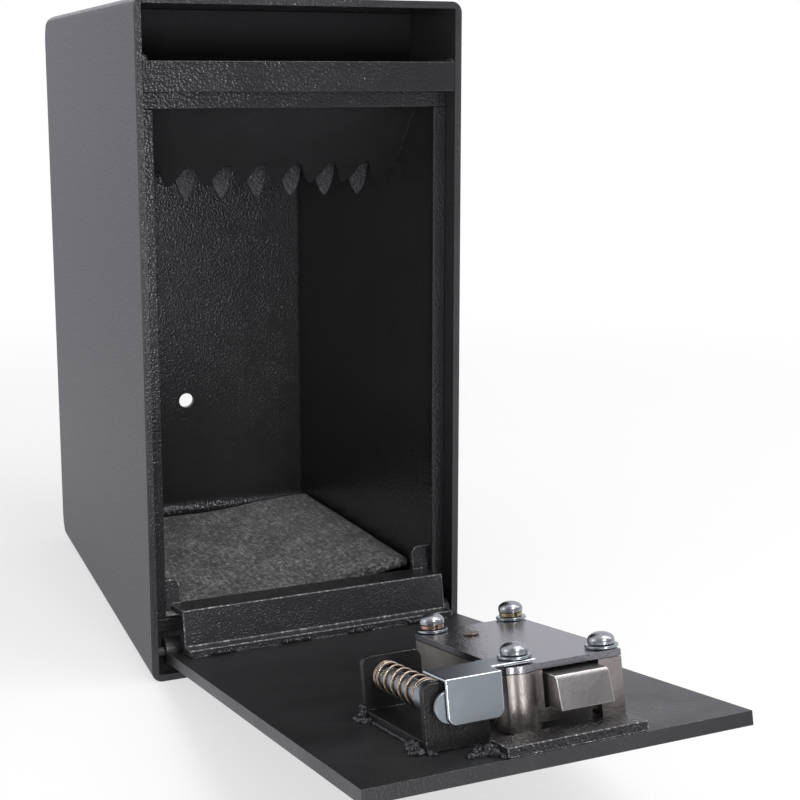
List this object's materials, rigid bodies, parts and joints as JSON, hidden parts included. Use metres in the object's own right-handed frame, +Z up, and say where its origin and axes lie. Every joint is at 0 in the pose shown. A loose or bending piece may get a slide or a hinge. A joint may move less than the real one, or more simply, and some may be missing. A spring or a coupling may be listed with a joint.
{
  "type": "drop safe",
  "caption": "Small steel drop safe with an open deposit slot over toothed anti-fishing baffles and a bottom-hinged door carrying a key lock and a sprung relocker.",
  "frame": {"origin": "centre of the underside of the cabinet", "axes": "+Z up, -Y out of the front through the door opening, +X to the right seen from the front"},
  "size_m": [0.1524, 0.4696, 0.3048],
  "materials": {
    "black_hammertone": "black hammertone paint",
    "black_door_paint": "satin black paint",
    "grey_felt": "mottled grey felt",
    "bright_steel": "bright",
    "nickel_plate": "satin nickel plate on a casting",
    "zinc_plate": "bluish zinc plate",
    "brass": "plain",
    "spring_wire": "drawn wire"
  },
  "bodies": {
    "cabinet": {"body_wrapper": "black_hammertone", "side_plate_left": "black_hammertone", "side_plate_right": "black_hammertone", "header_lip": "black_hammertone", "front_baffle": "black_hammertone", "rear_baffle": "black_hammertone", "jamb_strip_left": "black_hammertone", "jamb_strip_right": "black_hammertone", "jamb_strip_top": "black_hammertone", "threshold_strip": "black_hammertone", "floor_felt": "grey_felt", "hinge_pin_left": "bright_steel", "hinge_pin_right": "bright_steel", "hinge_spacer": "black_hammertone"},
    "door": {"door_plate": "black_door_paint", "hook_channel": "black_door_paint", "edge_bar": "black_door_paint", "relocker_bracket": "black_door_paint", "lock_case": "nickel_plate", "lock_cover": "nickel_plate", "relocker_plate": "zinc_plate", "key_escutcheon": "bright_steel", "lever_post": "brass", "lever_spring": "spring_wire", "relocker_spring": "spring_wire", "lock_screw_1": "bright_steel", "flat_washer_1": "bright_steel", "lock_screw_2": "bright_steel", "flat_washer_2": "bright_steel", "lock_screw_3": "bright_steel", "flat_washer_3": "bright_steel", "lock_screw_4": "bright_steel", "flat_washer_4": "bright_steel", "spring_washer_1": "brass", "spring_washer_2": "brass"},
    "bolt": {"lock_bolt": "nickel_plate", "bolt_stump": "bright_steel"},
    "key": {"key_plug": "brass"},
    "levers": {"lever_1": "brass", "lever_2": "brass", "lever_3": "brass", "lever_4": "brass"},
    "plunger": {"relocker_plunger": "zinc_plate", "relocker_collar": "zinc_plate"}
  },
  "joints": [
    {"name": "door_hinge", "type": "hinge", "parent": "cabinet", "child": "door", "pos_m": [0, -0.1083, 0.012], "axis": [-1, 0, 0], "range_deg": [0, 78]},
    {"name": "key_turn", "type": "hinge", "parent": "door", "child": "key", "pos_m": [0.016, -0.29024, 0.05067], "axis": [0, 0.2079, 0.9781], "range_deg": [0, 180]},
    {"name": "bolt_slide", "type": "slide", "parent": "door", "child": "bolt", "axis": [0, -0.9781, 0.2079], "range_m": [0, 0.0127]},
    {"name": "lever_lift", "type": "hinge", "parent": "door", "child": "levers", "pos_m": [0.007, -0.27265, 0.06125], "axis": [0, 0.2079, 0.9781], "range_deg": [0, 2], "stiffness_Nm_per_rad": 0.05, "springref_deg": -11.46},
    {"name": "plunger_slide", "type": "slide", "parent": "door", "child": "plunger", "axis": [0, -0.9781, 0.2079], "range_m": [-0.0015, 0], "stiffness_N_per_m": 900, "springref_m": 0.012, "deforming": ["relocker_spring"]}
  ],
  "couplings": [
    {"joint": "key_turn", "follows": "bolt_slide", "rad_per_m": 247.2}
  ]
}
